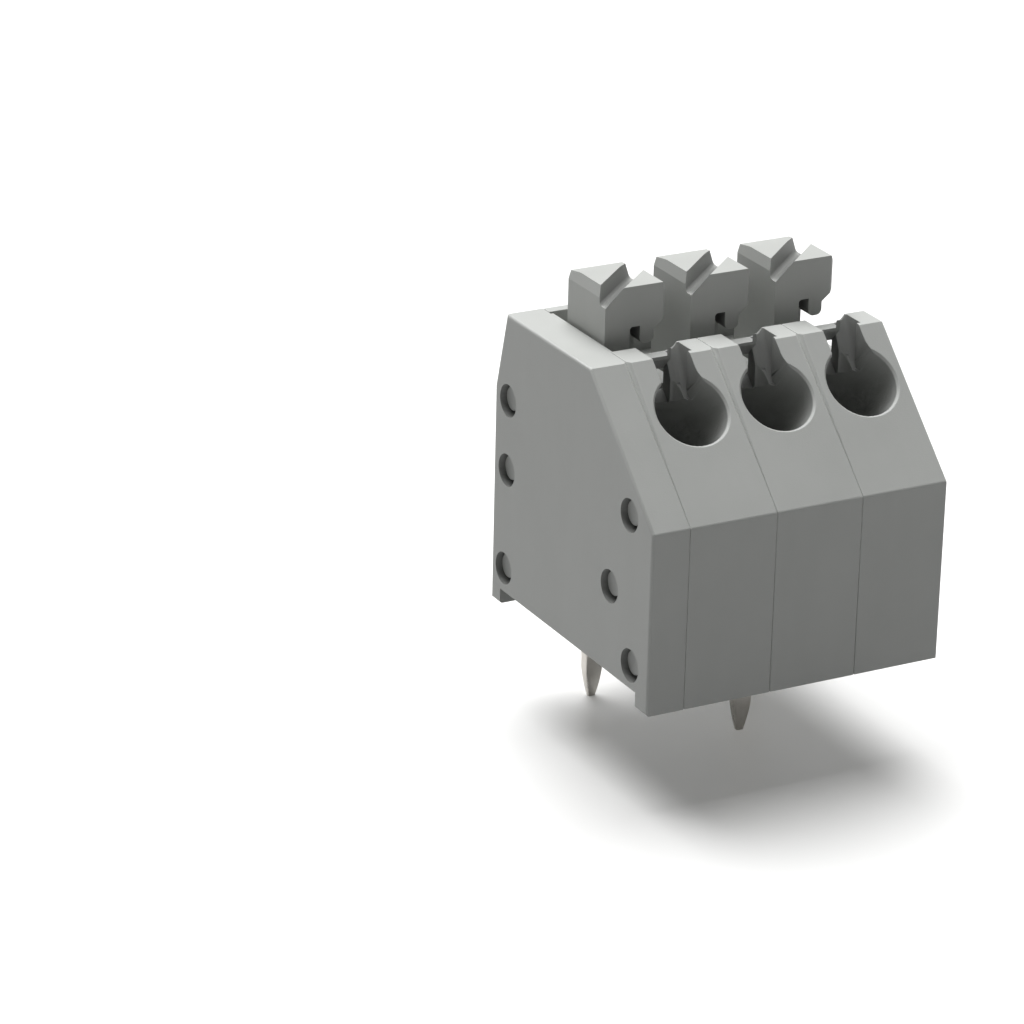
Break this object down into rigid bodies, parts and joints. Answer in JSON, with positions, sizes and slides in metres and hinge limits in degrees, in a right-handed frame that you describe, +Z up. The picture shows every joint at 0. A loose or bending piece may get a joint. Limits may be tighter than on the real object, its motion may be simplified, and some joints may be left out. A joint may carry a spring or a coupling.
{
  "type": "pcb spring terminal block",
  "caption": "Board-mounted spring terminal block: sloping face with round wire funnels, grooved push buttons on top and staggered flat solder pins below.",
  "frame": {"origin": "axis of the first solder pin at the board's top face (the seating plane of the rails)", "axes": "+Z up, away from the board and along the pins; +X along the row of poles, away from the end cover; +Y from the wire side to the back"},
  "size_m": [0.012, 0.0118, 0.0171],
  "materials": {
    "housing_plastic": "satin moulded grey polyamide",
    "button_plastic": "satin moulded grey polyamide",
    "tinned_copper": "bright tin plating over copper alloy strip",
    "spring_steel": "bright stainless spring strip"
  },
  "bodies": {
    "block": {"end_cover": "housing_plastic", "pole_housing_1": "housing_plastic", "pole_housing_2": "housing_plastic", "pole_housing_3": "housing_plastic", "contact_1": "tinned_copper", "contact_2": "tinned_copper", "contact_3": "tinned_copper", "cage_clamp_1": "spring_steel", "cage_clamp_2": "spring_steel", "cage_clamp_3": "spring_steel"},
    "button_1": {"button_1": "button_plastic"},
    "button_2": {"button_2": "button_plastic"},
    "button_3": {"button_3": "button_plastic"}
  },
  "joints": [
    {"name": "button_1_press", "type": "slide", "parent": "block", "child": "button_1", "axis": [0, 0, -1], "range_m": [0, 0.0019], "stiffness_N_per_m": 300, "springref_m": -0.0003, "deforming": ["cage_clamp_1"]},
    {"name": "button_2_press", "type": "slide", "parent": "block", "child": "button_2", "axis": [0, 0, -1], "range_m": [0, 0.0019], "stiffness_N_per_m": 300, "springref_m": -0.0003, "deforming": ["cage_clamp_2"]},
    {"name": "button_3_press", "type": "slide", "parent": "block", "child": "button_3", "axis": [0, 0, -1], "range_m": [0, 0.0019], "stiffness_N_per_m": 300, "springref_m": -0.0003, "deforming": ["cage_clamp_3"]}
  ]
}
